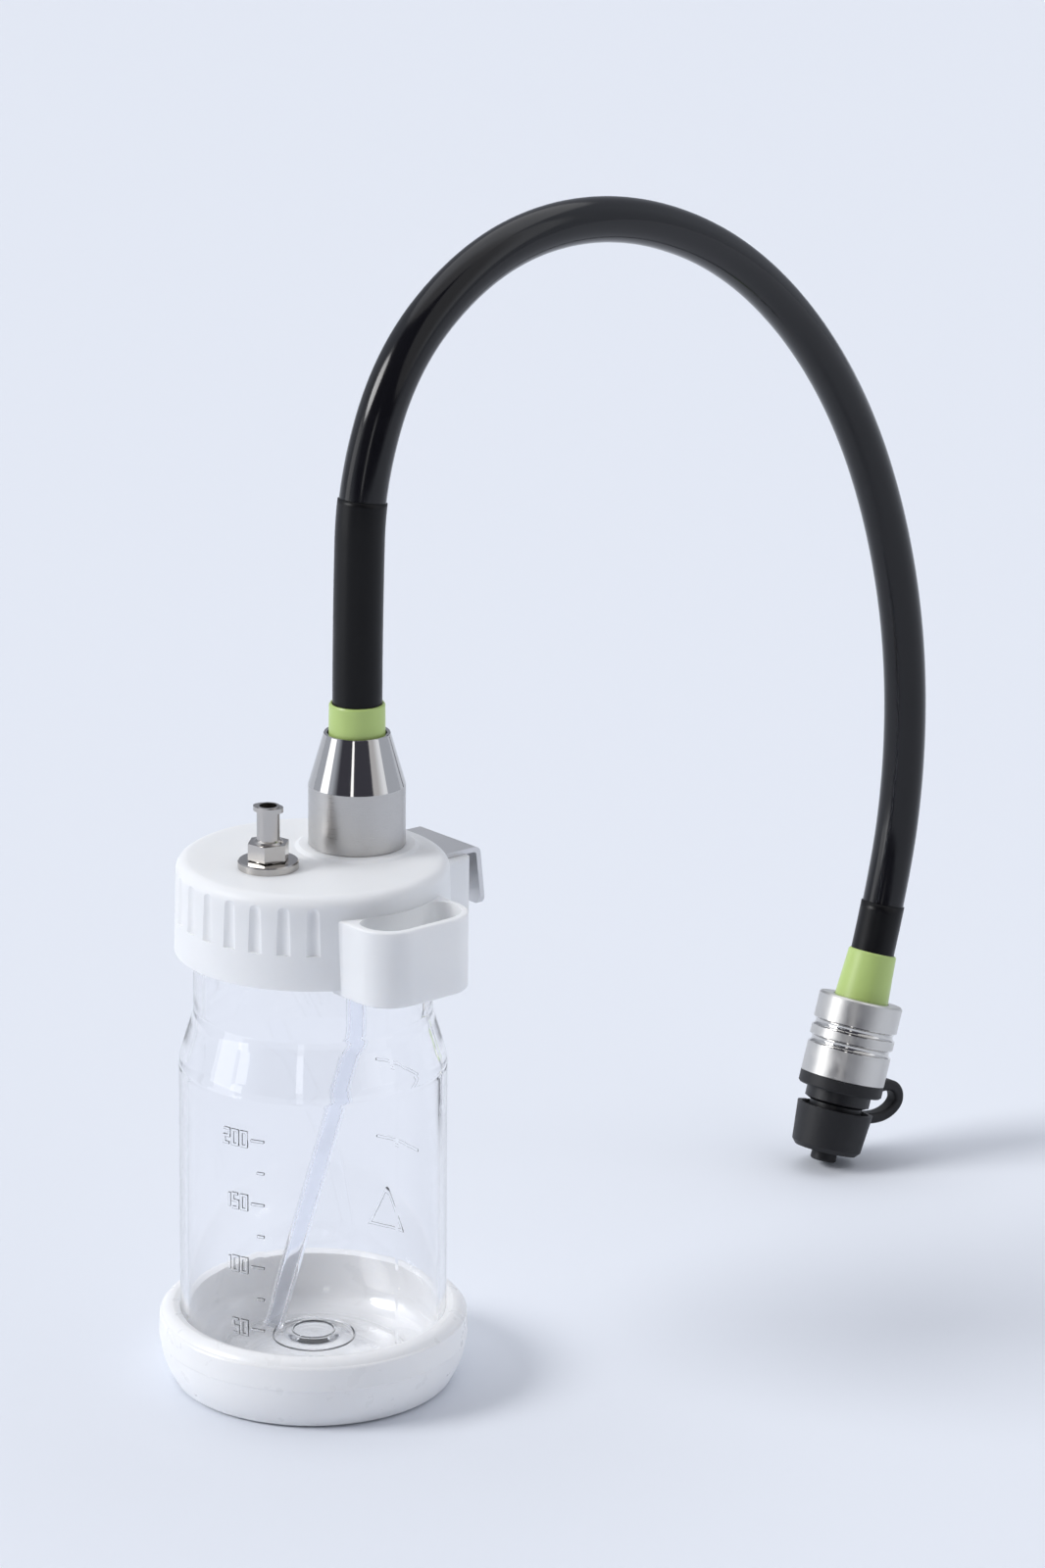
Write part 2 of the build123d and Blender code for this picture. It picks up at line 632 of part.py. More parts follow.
# Connector: a moulded body in a steel grip, with a steel pipe and two O-rings.
GROOVES = [37.9, 33.1]
GROOVE_R = 1.15
with BuildPart() as connector_sleeve:
    with BuildSketch(tip_section):
        Polygon(
            (9.9, GRIP_LOW),
            (GRIP_R - 0.2, GRIP_LOW),
            (GRIP_R, GRIP_LOW + 0.2),
            (GRIP_R, GRIP_TOP - 0.5),
            (GRIP_R - 0.5, GRIP_TOP),
            (7.9, GRIP_TOP),
            (7.9, GRIP_TOP - 1.2),
            (9.9, GRIP_TOP - 1.2),
            align=None,
        )
        for height in GROOVES:
            with Locations((GRIP_R + 0.35, height)):
                Circle(GROOVE_R, mode=Mode.SUBTRACT)
    revolve(axis=connector_axis)
connector_sleeve.part.label = "connector_sleeve"
export_step(connector_sleeve.part, "parts/connector_sleeve.step")

O_RING_HEIGHTS = [10.6, 13.6]
O_RING_SECTION = 0.7
O_RING_SEAT = PLUG_R - 0.45
with BuildPart() as connector_body:
    with BuildSketch(tip_section):
        Polygon(
            (0, STEM_END),
            (PLUG_R - 0.6, STEM_END),
            (PLUG_R, STEM_END + 0.8),
            (PLUG_R, 16.2),
            (STEM_R, 17.0),
            (STEM_R, GRIP_LOW),
            (9.85, GRIP_LOW),
            (9.85, GRIP_TOP - 1.3),
            (7.7, GRIP_TOP - 1.3),
            (7.7, GRIP_TOP - 1.0),
            (sleeve_r + FIT, GRIP_TOP - 1.0),
            (sleeve_r + FIT, HOSE_END - 0.1),
            (0, HOSE_END - 0.1),
            align=None,
        )
        Polygon((0, 0), (3.05, 0), (3.05, 60), (0, 60), align=None, mode=Mode.SUBTRACT)
        for height in O_RING_HEIGHTS:
            with Locations((O_RING_SEAT, height)):
                Circle(O_RING_SECTION + FIT, mode=Mode.SUBTRACT)
    revolve(axis=connector_axis)
connector_body.part.label = "connector_body"
export_step(connector_body.part, "parts/connector_body.step")

with BuildPart() as connector_o_rings:
    with BuildSketch(tip_section):
        for height in O_RING_HEIGHTS:
            with Locations((O_RING_SEAT, height)):
                Circle(O_RING_SECTION)
    revolve(axis=connector_axis)
connector_o_rings.part.label = "connector_o_rings"
export_step(connector_o_rings.part, "parts/connector_o_rings.step")

with BuildPart() as connector_pipe:
    with BuildSketch(tip_section):
        Polygon(
            (1.3, 5.2),
            (2.6, 5.2),
            (3.0, 6.2),
            (3.0, HOSE_END - 0.4),
            (1.3, HOSE_END - 0.4),
            align=None,
        )
    revolve(axis=connector_axis)
connector_pipe.part.label = "connector_pipe"
export_step(connector_pipe.part, "parts/connector_pipe.step")

# Rubber cap on its strap and ring.
with BuildPart() as tip_cap_ring:
    with BuildSketch(tip_section):
        Polygon(
            (STEM_R + FIT, STRAP_LOW),
            (GRIP_R - 0.5, STRAP_LOW),
            (GRIP_R, STRAP_LOW + 0.5),
            (GRIP_R, GRIP_LOW),
            (STEM_R + FIT, GRIP_LOW),
            align=None,
        )
    revolve(axis=connector_axis)
tip_cap_ring.part.label = "tip_cap_ring"
export_step(tip_cap_ring.part, "parts/tip_cap_ring.step")

with BuildPart() as tip_cap:
    with BuildSketch(tip_section):
        Polygon(
            (0, 0),
            (3.2, 0),
            (3.65, 0.45),
            (3.55, 2.8),
            (8.6, 3.0),
            (9.75, 4.3),
            (10.7, CAP_RIM),
            (9.6, CAP_RIM),
            (8.6, 5.4),
            (8.2, 4.6),
            (0, 4.6),
            align=None,
        )
    revolve(axis=connector_axis)
tip_cap.part.label = "tip_cap"
export_step(tip_cap.part, "parts/tip_cap.step")

STRAP_HALF = 1.5
with BuildLine(tip_section) as strap_path:
    FilletPolyline(
        (GRIP_R + 0.6, 22.0),
        (17.8, 24.4),
        (20.0, 18.6),
        (15.6, 14.4),
        (11.1, 13.4),
        radius=[3.2, 3.2, 3.2],
    )
strap_wire = strap_path.wire()
with BuildPart() as tip_cap_strap:
    with BuildSketch(Plane(origin=strap_wire @ 0, z_dir=strap_wire % 0, x_dir=tip_section.z_dir)):
        RectangleRounded(4.6, 2 * STRAP_HALF, 0.8)
    sweep(path=strap_wire)
tip_cap_strap.part.label = "tip_cap_strap"
export_step(tip_cap_strap.part, "parts/tip_cap_strap.step")

# Dip tube: hangs under the fitting and leans to the far side of the bottle's floor.
DIP_BEND_Z = 86.0
DIP_END = (-5.9, -8.3, 12.6)
dip_points = [Vector(0, PORT_OFFSET, JOINT_Z), Vector(0, PORT_OFFSET, DIP_BEND_Z), Vector(*DIP_END)]
with BuildPart() as dip_tube:
    with BuildLine() as dip_path:
        FilletPolyline(*dip_points, radius=14.0)
    with BuildSketch(Plane(origin=dip_path.wire() @ 0, z_dir=dip_path.wire() % 0)):
        Circle(DIP_R)
        Circle(DIP_BORE, mode=Mode.SUBTRACT)
    sweep(path=dip_path.wire())
dip_tube.part.label = "dip_tube"
export_step(dip_tube.part, "parts/dip_tube.step")

# Joiner pushed into the water line above and the dip tube below.
with BuildPart() as tube_joiner:
    with BuildSketch(collar_section):
        Polygon(
            (0.9, 112.0),
            (DIP_BORE - FIT, 112.0),
            (DIP_BORE - FIT, JOINT_Z),
            (LINE_BORE - FIT, JOINT_Z),
            (LINE_BORE - FIT, 128.0),
            (0.9, 128.0),
            align=None,
        )
    revolve(axis=collar_axis)
tube_joiner.part.label = "tube_joiner"
export_step(tube_joiner.part, "parts/tube_joiner.step")
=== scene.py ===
"""The looks of the endoscope water bottle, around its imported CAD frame. Metres, +Z up."""

import json
import math

import bmesh
import bpy
from mathutils import Matrix, Vector


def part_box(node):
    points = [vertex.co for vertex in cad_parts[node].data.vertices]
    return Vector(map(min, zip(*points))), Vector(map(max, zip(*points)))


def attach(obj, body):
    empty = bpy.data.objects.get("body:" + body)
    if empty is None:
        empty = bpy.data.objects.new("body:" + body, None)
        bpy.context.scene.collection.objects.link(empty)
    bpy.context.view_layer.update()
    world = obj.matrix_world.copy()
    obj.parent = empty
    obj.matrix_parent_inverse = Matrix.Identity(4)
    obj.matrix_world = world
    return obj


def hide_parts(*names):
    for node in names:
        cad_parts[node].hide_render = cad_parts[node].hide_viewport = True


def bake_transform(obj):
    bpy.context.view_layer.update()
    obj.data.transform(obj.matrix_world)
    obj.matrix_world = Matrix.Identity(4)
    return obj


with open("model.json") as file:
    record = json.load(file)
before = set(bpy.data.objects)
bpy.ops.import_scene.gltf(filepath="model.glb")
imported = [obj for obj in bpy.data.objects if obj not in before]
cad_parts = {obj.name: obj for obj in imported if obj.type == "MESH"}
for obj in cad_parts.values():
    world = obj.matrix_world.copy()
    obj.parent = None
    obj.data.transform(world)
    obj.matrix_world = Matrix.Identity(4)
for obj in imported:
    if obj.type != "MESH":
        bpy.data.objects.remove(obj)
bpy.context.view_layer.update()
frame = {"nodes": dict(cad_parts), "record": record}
scene = bpy.context.scene
nodes = frame["nodes"]
MM = 0.001

mount = next(m for m in frame["record"]["mounts"] if m["name"] == "scope_connector")
tip = Vector(mount["pos_m"])
tip_up = -Vector(mount["axis"]).normalized()

# ---------------------------------------------------------------- camera

CAMERA_AT = Vector((0.8871, -0.7041, 0.4999))
CAMERA_BEARING = math.radians(139.0)  # from +X towards +Y
CAMERA_DOWN = math.radians(17.0)
CAMERA_ROLL = math.radians(0.672)
LENS_MM = 112.5

FLOOR_RADIUS = 9.0
FLOOR_GAP = 0.0004  # keeps the floor clear of the foot's underside
FLOOR_COLOUR = (0.80, 0.83, 0.89, 1)
FLOOR_ROUGHNESS = 0.75
SCENE_CENTRE = Vector((0, 0.08, 0.12))
ROOM = (0.60, 0.64, 0.72, 1)
# The dark parts of the room: the way to each, where it starts and is full, and its colour.
DARK_SIDES = [
    ((0.62, -0.45, 0.64), 0.42, 0.62, (0.07, 0.07, 0.09, 1)),
    ((-0.72, 0.63, 0.29), 0.55, 0.90, (0.34, 0.36, 0.41, 1)),
]

forward = Vector(
    (
        math.cos(CAMERA_BEARING) * math.cos(CAMERA_DOWN),
        math.sin(CAMERA_BEARING) * math.cos(CAMERA_DOWN),
        -math.sin(CAMERA_DOWN),
    )
)
level_right = forward.cross(Vector((0, 0, 1))).normalized()
level_up = level_right.cross(forward)
right = math.cos(CAMERA_ROLL) * level_right + math.sin(CAMERA_ROLL) * level_up
up = math.cos(CAMERA_ROLL) * level_up - math.sin(CAMERA_ROLL) * level_right


def add_camera():
    data = bpy.data.cameras.new("camera")
    data.sensor_width = 36.0
    data.lens = LENS_MM
    data.clip_start = 0.05
    camera = bpy.data.objects.new("camera", data)
    scene.collection.objects.link(camera)
    turn = Matrix((right, up, -forward)).transposed()
    camera.matrix_world = Matrix.Translation(CAMERA_AT) @ turn.to_4x4()
    scene.camera = camera


# ---------------------------------------------------------------- floor and light


def add_area(name, offset, size, watts):
    """A lamp that is there for its reflections, and doesn't brighten the floor."""
    data = bpy.data.lights.new(name, "AREA")
    data.shape = "RECTANGLE"
    data.size, data.size_y = size
    data.energy = watts
    light = bpy.data.objects.new(name, data)
    light.visible_diffuse = False
    light.location = SCENE_CENTRE + offset
    light.rotation_euler = (-offset).to_track_quat("-Z", "Y").to_euler()
    scene.collection.objects.link(light)


def add_studio():
    bm = bmesh.new()
    bmesh.ops.create_circle(bm, cap_ends=True, segments=96, radius=FLOOR_RADIUS)
    mesh = bpy.data.meshes.new("studio_floor")
    bm.to_mesh(mesh)
    bm.free()
    floor = bpy.data.objects.new("studio_floor", mesh)
    floor.location.z = -FLOOR_GAP
    scene.collection.objects.link(floor)
    mat, tree, shader = new_material("studio_floor")
    shader.inputs["Base Color"].default_value = FLOOR_COLOUR
    shader.inputs["Roughness"].default_value = FLOOR_ROUGHNESS
    mesh.materials.append(mat)

    add_world()
    left = -right
    back = Vector((forward.x, forward.y, 0)).normalized()
    above = Vector((0, 0, 1))
    add_sun("key_left", left - back * 0.25 + above * 0.75, 24, 1.75)
    add_sun("top_soft", back * 0.35 + above, 70, 0.85)
    add_sun("fill_right", right - back * 0.5 + above * 0.8, 60, 0.5)
    add_area("window_left", left * 1.1 - back * 0.55, (0.22, 0.22), 0.5)
    add_area("panel_left", left * 1.5 - back * 0.25 + above * 0.25, (0.6, 0.8), 2.4)
    add_area("strip_front", left * 0.30 - back * 1.5 + above * 0.48, (0.16, 0.6), 0.6)
    scene.view_settings.view_transform = "Standard"


def add_sun(name, towards, spread_deg, strength):
    data = bpy.data.lights.new(name, "SUN")
    data.angle = math.radians(spread_deg)
    data.energy = strength
    sun = bpy.data.objects.new(name, data)
    sun.rotation_euler = Vector(towards).to_track_quat("Z", "Y").to_euler()
    scene.collection.objects.link(sun)


def add_world():
    """A pale room all round, dark behind the viewer and, less so, behind the object."""
    world = bpy.data.worlds.new("studio")
    world.use_nodes = True
    tree = world.node_tree
    where = tree.nodes.new("ShaderNodeTexCoord")
    colour = None
    for direction, start, end, shade in DARK_SIDES:
        facing = tree.nodes.new("ShaderNodeVectorMath")
        facing.operation = "DOT_PRODUCT"
        facing.inputs[1].default_value = direction
        amount = tree.nodes.new("ShaderNodeMapRange")
        amount.inputs["From Min"].default_value = start
        amount.inputs["From Max"].default_value = end
        mix = tree.nodes.new("ShaderNodeMix")
        mix.data_type = "RGBA"
        mix.inputs["A"].default_value = ROOM
        mix.inputs["B"].default_value = shade
        tree.links.new(where.outputs["Generated"], facing.inputs[0])
        tree.links.new(facing.outputs["Value"], amount.inputs["Value"])
        tree.links.new(amount.outputs["Result"], mix.inputs["Factor"])
        if colour:
            tree.links.new(colour, mix.inputs["A"])
        colour = mix.outputs["Result"]
    tree.links.new(colour, tree.nodes["Background"].inputs["Color"])
    scene.world = world


# ---------------------------------------------------------------- materials


GLOW_DEPTH = 0.006  # how far light goes into milky plastic and rubber
CONE_FOOT_Z = 0.1511
CONE_ROUGHNESS = 0.07
GRIP_GROOVES = [37.9 * MM, 33.1 * MM]  # along the connector, from its tip
GROOVE_HALF = 1.25 * MM
GROOVE_ROUGHNESS = 0.09


def new_material(name):
    mat = bpy.data.materials.new(name)
    mat.use_nodes = True
    tree = mat.node_tree
    return mat, tree, tree.nodes["Principled BSDF"]


def add_noise(tree, scale, detail=4.0, stretch=(1, 1, 1)):
    """A noise on the piece's own coordinates, stretched along each axis."""
    where = tree.nodes.new("ShaderNodeTexCoord")
    mapping = tree.nodes.new("ShaderNodeMapping")
    mapping.inputs["Scale"].default_value = stretch
    noise = tree.nodes.new("ShaderNodeTexNoise")
    noise.inputs["Scale"].default_value = scale
    noise.inputs["Detail"].default_value = detail
    tree.links.new(where.outputs["Object"], mapping.inputs["Vector"])
    tree.links.new(mapping.outputs["Vector"], noise.inputs["Vector"])
    return noise.outputs["Fac"]


def spread(tree, value, low, high):
    """The middle of a noise's range, mapped to low to high."""
    node = tree.nodes.new("ShaderNodeMapRange")
    node.inputs["From Min"].default_value = 0.3
    node.inputs["From Max"].default_value = 0.7
    node.inputs["To Min"].default_value = low
    node.inputs["To Max"].default_value = high
    tree.links.new(value, node.inputs["Value"])
    return node.outputs["Result"]


def add_bump(tree, shader, height, strength, distance):
    bump = tree.nodes.new("ShaderNodeBump")
    bump.inputs["Strength"].default_value = strength
    bump.inputs["Distance"].default_value = distance
    tree.links.new(height, bump.inputs["Height"])
    tree.links.new(bump.outputs["Normal"], shader.inputs["Normal"])


def tinted(tree, shader, value, dark, light):
    mix = tree.nodes.new("ShaderNodeMix")
    mix.data_type = "RGBA"
    mix.inputs["A"].default_value = (*dark, 1)
    mix.inputs["B"].default_value = (*light, 1)
    tree.links.new(value, mix.inputs["Factor"])
    tree.links.new(mix.outputs["Result"], shader.inputs["Base Color"])


def moulded(name, dark, light, rough, grain=2600, bump=0.00001, subsurface=0.0, gloss=0.5):
    """Moulded plastic or rubber: a faint cloud in its colour and a fine grain."""
    mat, tree, shader = new_material(name)
    tinted(tree, shader, add_noise(tree, 45, 3), dark, light)
    grain_value = add_noise(tree, grain, 2)
    tree.links.new(spread(tree, add_noise(tree, 160), rough[0], rough[1]), shader.inputs["Roughness"])
    add_bump(tree, shader, grain_value, 0.35, bump)
    shader.inputs["Subsurface Weight"].default_value = subsurface
    shader.inputs["Subsurface Radius"].default_value = (1.0, 0.95, 0.9)
    shader.inputs["Subsurface Scale"].default_value = GLOW_DEPTH
    shader.inputs["Specular IOR Level"].default_value = gloss
    return mat


def steel(name, colour, rough, lines=(1, 1, 60), scale=160, bump=0.000004):
    """Stainless steel with lines left by its tool, across the axis that is stretched."""
    mat, tree, shader = new_material(name)
    shader.inputs["Metallic"].default_value = 1.0
    shader.inputs["Base Color"].default_value = (*colour, 1)
    streaks = add_noise(tree, scale, 3, lines)
    tree.links.new(spread(tree, streaks, rough[0], rough[1]), shader.inputs["Roughness"])
    add_bump(tree, shader, streaks, 0.4, bump)
    return mat


def clear(name, colour, ior, rough, shadow_pass):
    """Clear plastic: light on its way to another surface passes straight through."""
    mat, tree, shader = new_material(name)
    shader.inputs["Base Color"].default_value = (*colour, 1)
    shader.inputs["Roughness"].default_value = rough
    shader.inputs["IOR"].default_value = ior
    shader.inputs["Transmission Weight"].default_value = 1.0
    rays = tree.nodes.new("ShaderNodeLightPath")
    through = tree.nodes.new("ShaderNodeBsdfTransparent")
    through.inputs["Color"].default_value = (shadow_pass, shadow_pass, shadow_pass, 1)
    surface = shader.outputs["BSDF"]
    for ray in ("Is Diffuse Ray", "Is Shadow Ray"):
        mix = tree.nodes.new("ShaderNodeMixShader")
        tree.links.new(rays.outputs[ray], mix.inputs["Fac"])
        tree.links.new(surface, mix.inputs[1])
        tree.links.new(through.outputs["BSDF"], mix.inputs[2])
        surface = mix.outputs["Shader"]
    tree.links.new(surface, tree.nodes["Material Output"].inputs["Surface"])
    return mat


def collar_steel():
    """Polished on the cone and brushed round its axis below it."""
    mat = steel("steel_collar", (0.52, 0.51, 0.50), (0.26, 0.38), (1, 1, 40), 260, 0.000003)
    tree = mat.node_tree
    shader = tree.nodes["Principled BSDF"]
    where = tree.nodes.new("ShaderNodeTexCoord")
    split = tree.nodes.new("ShaderNodeSeparateXYZ")
    above = tree.nodes.new("ShaderNodeMath")
    above.operation = "GREATER_THAN"
    above.inputs[1].default_value = CONE_FOOT_Z
    mix = tree.nodes.new("ShaderNodeMix")
    brushed = shader.inputs["Roughness"].links[0].from_socket
    tree.links.new(where.outputs["Object"], split.inputs["Vector"])
    tree.links.new(split.outputs["Z"], above.inputs[0])
    tree.links.new(above.outputs["Value"], mix.inputs["Factor"])
    tree.links.new(brushed, mix.inputs["A"])
    mix.inputs["B"].default_value = CONE_ROUGHNESS
    tree.links.new(mix.outputs["Result"], shader.inputs["Roughness"])
    return mat


def grip_steel():
    """Brushed round the connector's axis, with polished grooves."""
    mat = steel("steel_polished", (0.62, 0.61, 0.59), (0.30, 0.42), (1, 1, 1), 300, 0.0000003)
    tree = mat.node_tree
    shader = tree.nodes["Principled BSDF"]
    brushed = shader.inputs["Roughness"].links[0].from_socket
    where = tree.nodes.new("ShaderNodeTexCoord")
    along = tree.nodes.new("ShaderNodeVectorMath")
    along.operation = "DOT_PRODUCT"
    along.inputs[1].default_value = tip_up
    tree.links.new(where.outputs["Object"], along.inputs[0])
    value = brushed
    for height in GRIP_GROOVES:
        near = tree.nodes.new("ShaderNodeMath")
        near.operation = "COMPARE"
        near.inputs[1].default_value = tip.dot(tip_up) + height
        near.inputs[2].default_value = GROOVE_HALF
        tree.links.new(along.outputs["Value"], near.inputs[0])
        mix = tree.nodes.new("ShaderNodeMix")
        mix.inputs["B"].default_value = GROOVE_ROUGHNESS
        tree.links.new(near.outputs["Value"], mix.inputs["Factor"])
        tree.links.new(value, mix.inputs["A"])
        value = mix.outputs["Result"]
    tree.links.new(value, shader.inputs["Roughness"])
    return mat


def make_materials():
    return {
        "lid": moulded("lid_white", (0.85, 0.86, 0.87), (0.89, 0.90, 0.91), (0.42, 0.5), subsurface=0.4),
        "foot": moulded(
            "foot_rubber", (0.93, 0.935, 0.945), (0.96, 0.965, 0.975), (0.26, 0.34), subsurface=0.35
        ),
        "bottle": clear("bottle_clear", (0.99, 0.992, 1.0), 1.49, 0.0, 0.985),
        "line": clear("line_clear", (0.95, 0.96, 0.99), 1.14, 0.12, 0.97),
        "seal": moulded("seal_silicone", (0.78, 0.78, 0.76), (0.84, 0.84, 0.82), (0.5, 0.6)),
        "collar": collar_steel(),
        "grip": grip_steel(),
        "turned": steel("steel_turned", (0.50, 0.48, 0.46), (0.12, 0.22)),
        "satin": steel(
            "steel_satin", (0.66, 0.66, 0.67), (0.34, 0.46), (1, 1, 1), scale=2500, bump=0.00001
        ),
        "hose": moulded(
            "hose_black",
            (0.004, 0.004, 0.006),
            (0.007, 0.007, 0.009),
            (0.10, 0.18),
            grain=500,
            bump=0.000004,
            gloss=0.36,
        ),
        "sleeve": moulded(
            "sleeve_black", (0.003, 0.003, 0.004), (0.005, 0.005, 0.006), (0.3, 0.4), gloss=0.2
        ),
        "ring": moulded(
            "ring_green", (0.47, 0.62, 0.19), (0.51, 0.67, 0.22), (0.3, 0.4), subsurface=0.05
        ),
        "body": moulded(
            "body_black", (0.008, 0.008, 0.010), (0.012, 0.012, 0.014), (0.3, 0.4), gloss=0.4
        ),
        "rubber": moulded(
            "rubber_black",
            (0.008, 0.008, 0.010),
            (0.014, 0.014, 0.016),
            (0.42, 0.55),
            grain=1800,
            bump=0.00002,
            gloss=0.35,
        ),
    }


NODE_LOOKS = {
    "base_foot": "foot",
    "bottle": "bottle",
    "lid_gasket": "seal",
    "lid": "lid",
    "hook": "satin",
    "luer_port": "turned",
    "luer_seal": "seal",
    "luer_nut": "turned",
    "hose_collar": "collar",
    "hose_fitting": "turned",
    "fitting_seal": "seal",
    "fitting_nut": "turned",
    "water_line": "line",
    "hose_ring_lower": "ring",
    "hose_ring_upper": "ring",
    "connector_sleeve": "grip",
    "connector_body": "body",
    "connector_o_rings": "rubber",
    "connector_pipe": "turned",
    "tip_cap_ring": "rubber",
    "tip_cap": "rubber",
    "dip_tube": "line",
    "tube_joiner": "turned",
}


def dress(obj, mat):
    obj.data.materials.clear()
    obj.data.materials.append(mat)


# ---------------------------------------------------------------- hose

HOSE_R = 5.75 * MM
HOSE_BEARING = math.radians(96.3)
PORT_OFFSET = 13.7
SLEEVE_WALL = 0.32 * MM
SLEEVE_SIDES = 72
LOWER_SLEEVE_FROM_Z = 0.158  # inside the collar's mouth
UPPER_SLEEVE_REACH = 73.9 * MM  # from the connector's tip

# The hose's route in its upright plane: reach from the collar's axis, and height, in millimetres.
ROUTE = [
    (0.0, 141.0),
    (0.0, 167.0),
    (0.3, 197.0),
    (1.3, 226.0),
    (13.3, 253.9),
    (37.3, 272.3),
    (65.5, 280.1),
    (98.4, 277.9),
    (132.8, 265.2),
    (162.7, 243.4),
    (186.9, 214.6),
    (203.4, 181.8),
    (213.2, 146.6),
    (215.3, 111.0),
    (210.2, 76.7),
    (199.0, 43.8),
]


def route_point(reach, height):
    x = reach * math.cos(HOSE_BEARING)
    y = PORT_OFFSET + reach * math.sin(HOSE_BEARING)
    return Vector((x, y, height)) * MM


def route_curve(name):
    curve = bpy.data.curves.new(name, "CURVE")
    curve.dimensions = "3D"
    curve.resolution_u = 24
    spline = curve.splines.new("NURBS")
    spline.points.add(len(ROUTE) - 1)
    for point, place in zip(spline.points, ROUTE):
        point.co = (*route_point(*place), 1)
    spline.order_u = 3
    spline.use_endpoint_u = True
    obj = bpy.data.objects.new(name, curve)
    scene.collection.objects.link(obj)
    return obj


def centreline(obj):
    """The points of the route's own line, before it has any thickness."""
    bpy.context.view_layer.update()
    mesh = bpy.data.meshes.new_from_object(obj)
    points = [v.co.copy() for v in mesh.vertices]
    bpy.data.meshes.remove(mesh)
    return points


def sweep_rings(name, rings, closed_ends=True):
    """A mesh skinned over rings of points, each ring the same length."""
    count = len(rings[0])
    faces = []
    for i in range(len(rings) - 1):
        for j in range(count):
            a = i * count + j
            b = i * count + (j + 1) % count
            faces.append((a, b, b + count, a + count))
    if closed_ends:
        faces.append(tuple(reversed(range(count))))
        last = (len(rings) - 1) * count
        faces.append(tuple(range(last, last + count)))
    mesh = bpy.data.meshes.new(name)
    mesh.from_pydata([tuple(p) for ring in rings for p in ring], [], faces)
    mesh.validate()
    bm = bmesh.new()
    bm.from_mesh(mesh)
    bmesh.ops.recalc_face_normals(bm, faces=bm.faces)
    bm.to_mesh(mesh)
    bm.free()
    mesh.polygons.foreach_set("use_smooth", [True] * len(mesh.polygons))
    obj = bpy.data.objects.new(name, mesh)
    scene.collection.objects.link(obj)
    return obj


def sleeve(name, points, lip_first):
    """A shrunk sleeve round the hose, with a thin lip at its open end."""
    side = Vector((-math.sin(HOSE_BEARING), math.cos(HOSE_BEARING), 0))
    skin = HOSE_R + SLEEVE_WALL
    stations = [(p, skin) for p in points]
    lip = [skin - 0.08 * MM, skin - 0.22 * MM, HOSE_R - 0.1 * MM]
    steps = [0.0, 0.12 * MM, 0.12 * MM]
    ends = [(0, points[0] - points[1]), (-1, points[-1] - points[-2])]
    where, out = ends[0] if lip_first else ends[1]
    extra = [(points[where] + out.normalized() * step, r) for r, step in zip(lip, steps)]
    stations = list(reversed(extra)) + stations if lip_first else stations + extra
    rings = []
    for i, (centre, radius) in enumerate(stations):
        before = stations[max(i - 1, 0)][0]
        after = stations[min(i + 1, len(stations) - 1)][0]
        along = (after - before).normalized()
        across = along.cross(side).normalized()
        ring = []
        for k in range(SLEEVE_SIDES):
            turn = 2 * math.pi * k / SLEEVE_SIDES
            ring.append(centre + radius * (math.cos(turn) * side + math.sin(turn) * across))
        rings.append(ring)
    return sweep_rings(name, rings)


def add_hose(looks):
    hose = route_curve("hose_tube")
    line = centreline(hose)
    hose.data.bevel_depth = HOSE_R
    hose.data.bevel_resolution = 14
    hose.data.use_fill_caps = True
    dress(hose, looks["hose"])
    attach(hose, "lid")
    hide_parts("hose")

    sleeve_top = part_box("hose_sleeve_lower")[1][2]
    middle_y = tip.y / 2
    near = [p for p in line if p.y < middle_y and LOWER_SLEEVE_FROM_Z < p.z < sleeve_top]
    lower = sleeve("sleeve_lower", near, lip_first=False)
    far = [p for p in line if p.y > middle_y and (p - tip).dot(tip_up) < UPPER_SLEEVE_REACH]
    upper = sleeve("sleeve_upper", far, lip_first=True)
    for piece, node in ((lower, "hose_sleeve_lower"), (upper, "hose_sleeve_upper")):
        dress(piece, looks["sleeve"])
        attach(piece, "lid")
        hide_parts(node)

    measured = sum((b - a).length for a, b in zip(line, line[1:]))
    print("hose length, m:", round(measured, 4))
    on_hose = ["water_line", "hose_ring_lower", "hose_ring_upper", "connector_sleeve", "connector_body"]
    on_hose += ["connector_o_rings", "connector_pipe", "tip_cap_ring", "tip_cap"]


# ---------------------------------------------------------------- tip cap's strap

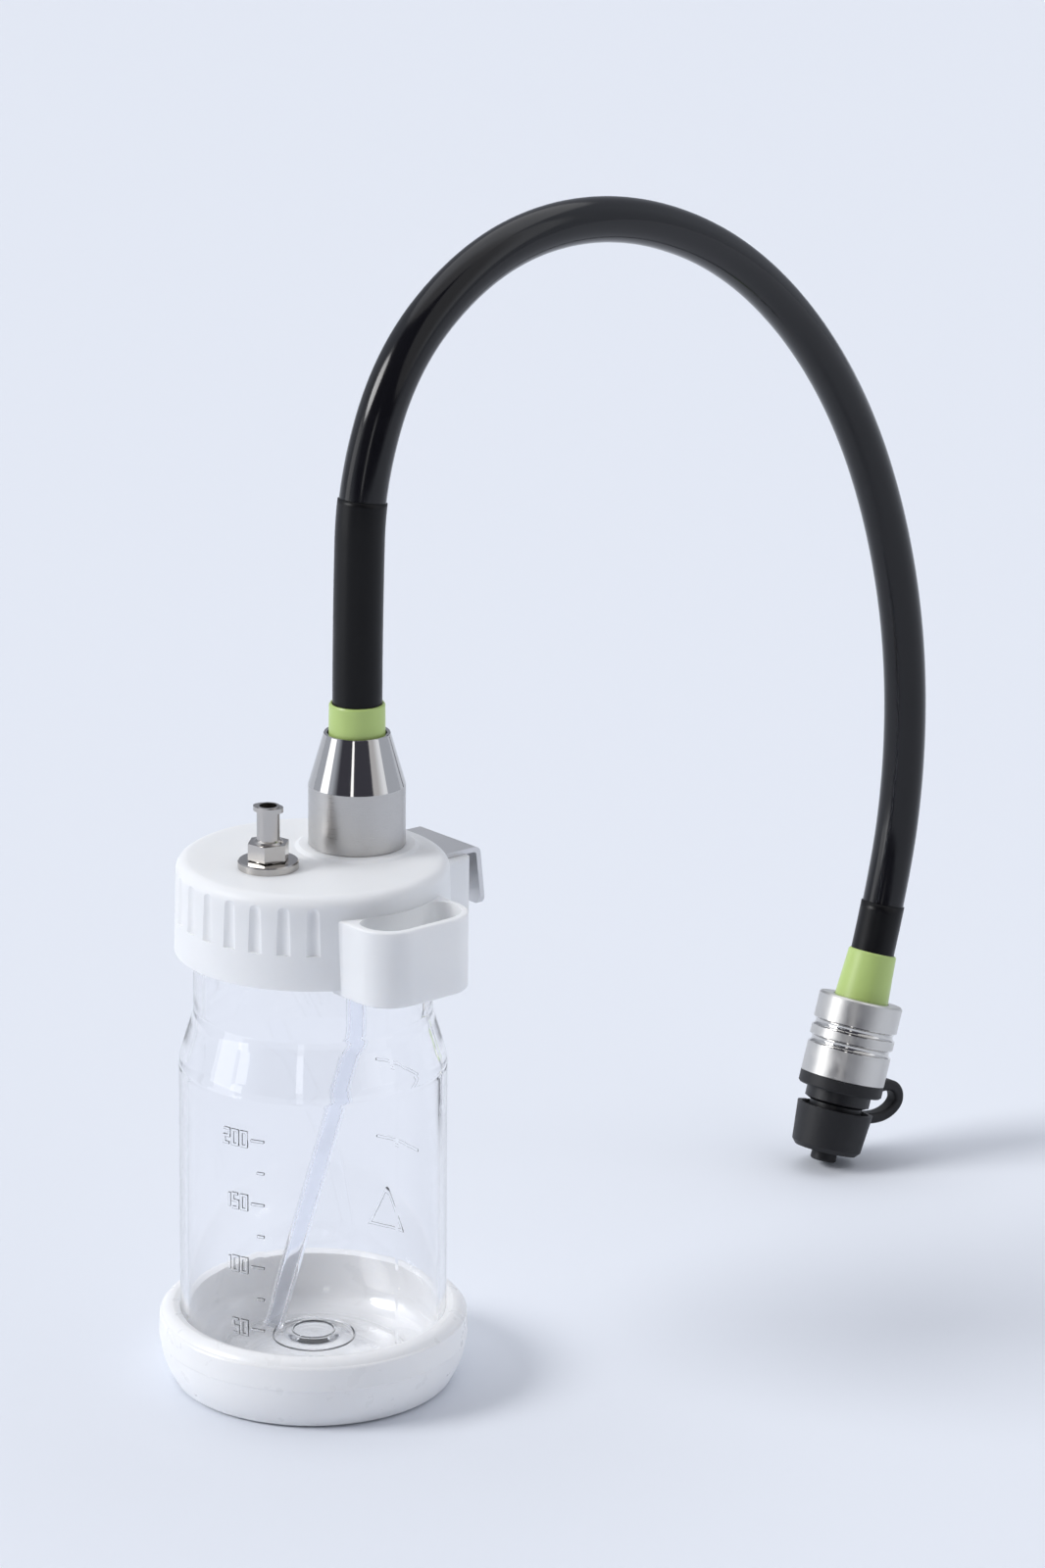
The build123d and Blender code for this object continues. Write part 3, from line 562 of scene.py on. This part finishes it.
STRAP_BEARING = math.radians(84.0)
strap_out = Vector((math.cos(STRAP_BEARING), math.sin(STRAP_BEARING), 0))
strap_side = (strap_out - strap_out.dot(tip_up) * tip_up).normalized()
strap_across = tip_up.cross(strap_side)

# The strap's middle line: distance from the connector's axis, and height along it, in millimetres.
STRAP_LINE = [
    (10.2, 21.9),
    (13.4, 23.2),
    (18.2, 25.2),
    (22.2, 20.0),
    (17.2, 14.6),
    (12.6, 13.8),
    (9.9, 13.5),
]
STRAP_HALF_WIDE = 2.3 * MM
STRAP_HALF_THICK = 1.5 * MM
STRAP_CORNER = 0.9 * MM


def add_strap(looks):
    curve = bpy.data.curves.new("strap_line", "CURVE")
    curve.dimensions = "3D"
    curve.resolution_u = 16
    spline = curve.splines.new("NURBS")
    spline.points.add(len(STRAP_LINE) - 1)
    for point, (out, height) in zip(spline.points, STRAP_LINE):
        point.co = (*(tip + strap_side * out * MM + tip_up * height * MM), 1)
    spline.order_u = 4
    spline.use_endpoint_u = True
    guide = bpy.data.objects.new("strap_line", curve)
    scene.collection.objects.link(guide)
    line = centreline(guide)
    bpy.data.objects.remove(guide)

    flat_u = STRAP_HALF_WIDE - STRAP_CORNER
    flat_v = STRAP_HALF_THICK - STRAP_CORNER
    rings = []
    for i, centre in enumerate(line):
        along = (line[min(i + 1, len(line) - 1)] - line[max(i - 1, 0)]).normalized()
        away = along.cross(strap_across).normalized()
        ring = []
        for cx, cy, start in ((1, 1, 0), (-1, 1, 90), (-1, -1, 180), (1, -1, 270)):
            for step in range(7):
                turn = math.radians(start + 15 * step)
                u = cx * flat_u + STRAP_CORNER * math.cos(turn)
                v = cy * flat_v + STRAP_CORNER * math.sin(turn)
                ring.append(centre + strap_across * u + away * v)
        rings.append(ring)
    strap = sweep_rings("cap_strap", rings)
    dress(strap, looks["rubber"])
    start = tip + tip_up * 21.9 * MM
    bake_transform(strap)
    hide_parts("tip_cap_strap")


# ---------------------------------------------------------------- the scene

add_camera()
add_studio()
looks = make_materials()
for node, look in NODE_LOOKS.items():
    dress(nodes[node], looks[look])
add_hose(looks)
add_strap(looks)
